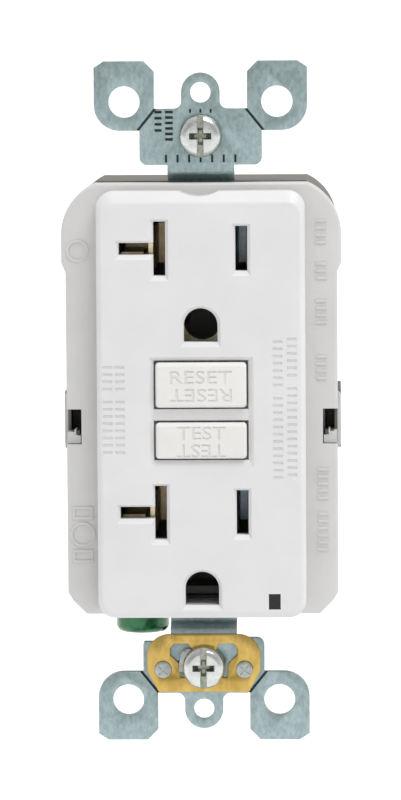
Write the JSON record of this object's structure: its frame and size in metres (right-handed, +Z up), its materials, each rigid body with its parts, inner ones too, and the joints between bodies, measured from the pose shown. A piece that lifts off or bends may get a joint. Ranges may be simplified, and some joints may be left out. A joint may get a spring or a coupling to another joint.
{
  "type": "ground fault outlet",
  "caption": "Duplex wall outlet with reset and test buttons, slotted faces, a steel mounting strap with break-off ears, side wire clamps and a green ground screw.",
  "frame": {"origin": "midpoint between the two plate screw holes, in the wall plane behind the strap ears", "axes": "+Z up along the strap, +X to the right seen from the front, face looks along -Y, +Y goes into the wall box"},
  "size_m": [0.0436, 0.0354, 0.1066],
  "materials": {
    "white_plastic": "moulded, satin gloss",
    "grey_plastic": "moulded, fine texture",
    "black_plastic": "moulded",
    "light_pipe": "smoked clear",
    "zinc_steel": "zinc plated",
    "retainer_fibre": "pressed fibre",
    "brass": "rolled",
    "tinned_brass": "tin plated",
    "clamp_steel": "zinc plated",
    "nickel_screw": "nickel plated",
    "brass_screw": "brass plated",
    "green_screw": "green chromate",
    "steel": "bright",
    "silver": "silver alloy",
    "copper_winding": "enamelled copper",
    "board": "glass epoxy",
    "toroid": "ferrite in plastic",
    "blue_epoxy": "dipped epoxy",
    "lamp": "clear"
  },
  "bodies": {
    "housing": {"assembly_screws": "zinc_steel", "back_body": "grey_plastic", "capacitor": "blue_epoxy", "carriage_springs": "steel", "circuit_board": "board", "control_chip": "black_plastic", "fixed_contacts": "silver", "front_cover": "white_plastic", "ground_contact_lower": "brass", "ground_contact_upper": "brass", "hot_contact_strip": "brass", "indicator_lamp": "lamp", "light_pipe": "light_pipe", "line_conductors": "copper_winding", "line_hot_terminal": "brass", "line_neutral_terminal": "tinned_brass", "load_hot_terminal": "brass", "load_neutral_terminal": "tinned_brass", "mounting_strap": "zinc_steel", "neutral_contact_strip": "brass", "neutral_toroid": "toroid", "plunger_spring": "steel", "reset_spring": "steel", "resistors": "blue_epoxy", "self_ground_clip": "brass", "sense_toroid": "toroid", "separator": "black_plastic", "solenoid_bobbin": "black_plastic", "solenoid_coil": "copper_winding", "solenoid_yoke": "steel", "strap_rivets": "zinc_steel", "test_leaf": "brass", "test_spring": "steel", "thyristor": "black_plastic", "varistor": "blue_epoxy"},
    "reset_assembly": {"reset_button": "white_plastic", "reset_rod": "steel"},
    "test_assembly": {"test_button": "white_plastic"},
    "carriage": {"contact_carriage": "black_plastic", "contact_bridges": "brass", "moving_contacts": "silver"},
    "latch": {"latch_plate": "steel"},
    "plunger": {"solenoid_plunger": "steel"},
    "upper_retainer": {"upper_screw_retainer": "retainer_fibre"},
    "upper_screw": {"upper_box_screw": "zinc_steel"},
    "lower_retainer": {"lower_screw_retainer": "retainer_fibre"},
    "lower_screw": {"lower_box_screw": "zinc_steel"},
    "green_washer": {"ground_washer": "steel"},
    "green_screw_body": {"ground_screw": "green_screw"},
    "line_hot_clamp_body": {"line_hot_clamp": "clamp_steel"},
    "line_hot_screw_body": {"line_hot_screw": "brass_screw"},
    "line_neutral_clamp_body": {"line_neutral_clamp": "clamp_steel"},
    "line_neutral_screw_body": {"line_neutral_screw": "nickel_screw"},
    "load_hot_clamp_body": {"load_hot_clamp": "clamp_steel"},
    "load_hot_screw_body": {"load_hot_screw": "brass_screw"},
    "load_neutral_clamp_body": {"load_neutral_clamp": "clamp_steel"},
    "load_neutral_screw_body": {"load_neutral_screw": "nickel_screw"}
  },
  "joints": [
    {"name": "reset_press", "type": "slide", "parent": "housing", "child": "reset_assembly", "axis": [0, 1, 0], "range_m": [0, 0.0025], "stiffness_N_per_m": 600, "springref_m": -0.001, "deforming": ["reset_spring"]},
    {"name": "test_press", "type": "slide", "parent": "housing", "child": "test_assembly", "axis": [0, 1, 0], "range_m": [0, 0.0015], "stiffness_N_per_m": 600, "springref_m": -0.001, "deforming": ["test_spring"]},
    {"name": "carriage_lift", "type": "slide", "parent": "housing", "child": "carriage", "axis": [0, -1, 0], "range_m": [0, 0.0025], "stiffness_N_per_m": 400, "springref_m": -0.0005, "deforming": ["carriage_springs"]},
    {"name": "plunger_slide", "type": "slide", "parent": "housing", "child": "plunger", "axis": [0, 0, -1], "range_m": [0, 0.0012], "stiffness_N_per_m": 200, "springref_m": -0.002, "deforming": ["plunger_spring"]},
    {"name": "latch_slide", "type": "slide", "parent": "carriage", "child": "latch", "axis": [0, 0, -1], "range_m": [0, 0.0012]},
    {"name": "line_neutral_screw_turn", "type": "hinge", "parent": "housing", "child": "line_neutral_screw_body", "pos_m": [-0.02, 0.017, -0.0135], "axis": [1, 0, 0], "range_deg": [0, 907]},
    {"name": "line_neutral_clamp_slide", "type": "slide", "parent": "housing", "child": "line_neutral_clamp_body", "axis": [-1, 0, 0], "range_m": [0, 0.002]},
    {"name": "line_hot_screw_turn", "type": "hinge", "parent": "housing", "child": "line_hot_screw_body", "pos_m": [0.02, 0.017, -0.0135], "axis": [-1, 0, 0], "range_deg": [0, 907]},
    {"name": "line_hot_clamp_slide", "type": "slide", "parent": "housing", "child": "line_hot_clamp_body", "axis": [1, 0, 0], "range_m": [0, 0.002]},
    {"name": "load_neutral_screw_turn", "type": "hinge", "parent": "housing", "child": "load_neutral_screw_body", "pos_m": [-0.02, 0.017, 0.0135], "axis": [1, 0, 0], "range_deg": [0, 907]},
    {"name": "load_neutral_clamp_slide", "type": "slide", "parent": "housing", "child": "load_neutral_clamp_body", "axis": [-1, 0, 0], "range_m": [0, 0.002]},
    {"name": "load_hot_screw_turn", "type": "hinge", "parent": "housing", "child": "load_hot_screw_body", "pos_m": [0.02, 0.017, 0.0135], "axis": [-1, 0, 0], "range_deg": [0, 907]},
    {"name": "load_hot_clamp_slide", "type": "slide", "parent": "housing", "child": "load_hot_clamp_body", "axis": [1, 0, 0], "range_m": [0, 0.002]},
    {"name": "upper_screw_shift", "type": "slide", "parent": "housing", "child": "upper_retainer", "axis": [1, 0, 0], "range_m": [-0.001, 0.001]},
    {"name": "upper_screw_turn", "type": "hinge", "parent": "upper_retainer", "child": "upper_screw", "pos_m": [0, 0, 0.04165], "axis": [0, 1, 0], "continuous": true},
    {"name": "lower_screw_shift", "type": "slide", "parent": "housing", "child": "lower_retainer", "axis": [1, 0, 0], "range_m": [-0.0006, 0.0006]},
    {"name": "lower_screw_turn", "type": "hinge", "parent": "lower_retainer", "child": "lower_screw", "pos_m": [0, 0, -0.04165], "axis": [0, 1, 0], "continuous": true},
    {"name": "ground_washer_slide", "type": "slide", "parent": "housing", "child": "green_washer", "axis": [0, 0, -1], "range_m": [0, 0.002]},
    {"name": "ground_screw_turn", "type": "hinge", "parent": "green_washer", "child": "green_screw_body", "pos_m": [-0.01, 0.0095, -0.036], "axis": [0, 0, -1], "range_deg": [0, 907]}
  ],
  "couplings": [
    {"joint": "latch_slide", "follows": "plunger_slide", "ratio": 1},
    {"joint": "line_neutral_screw_turn", "follows": "line_neutral_clamp_slide", "rad_per_m": 7913.3},
    {"joint": "line_hot_screw_turn", "follows": "line_hot_clamp_slide", "rad_per_m": 7913.3},
    {"joint": "load_neutral_screw_turn", "follows": "load_neutral_clamp_slide", "rad_per_m": 7913.3},
    {"joint": "load_hot_screw_turn", "follows": "load_hot_clamp_slide", "rad_per_m": 7913.3},
    {"joint": "ground_screw_turn", "follows": "ground_washer_slide", "rad_per_m": 7913.3}
  ]
}
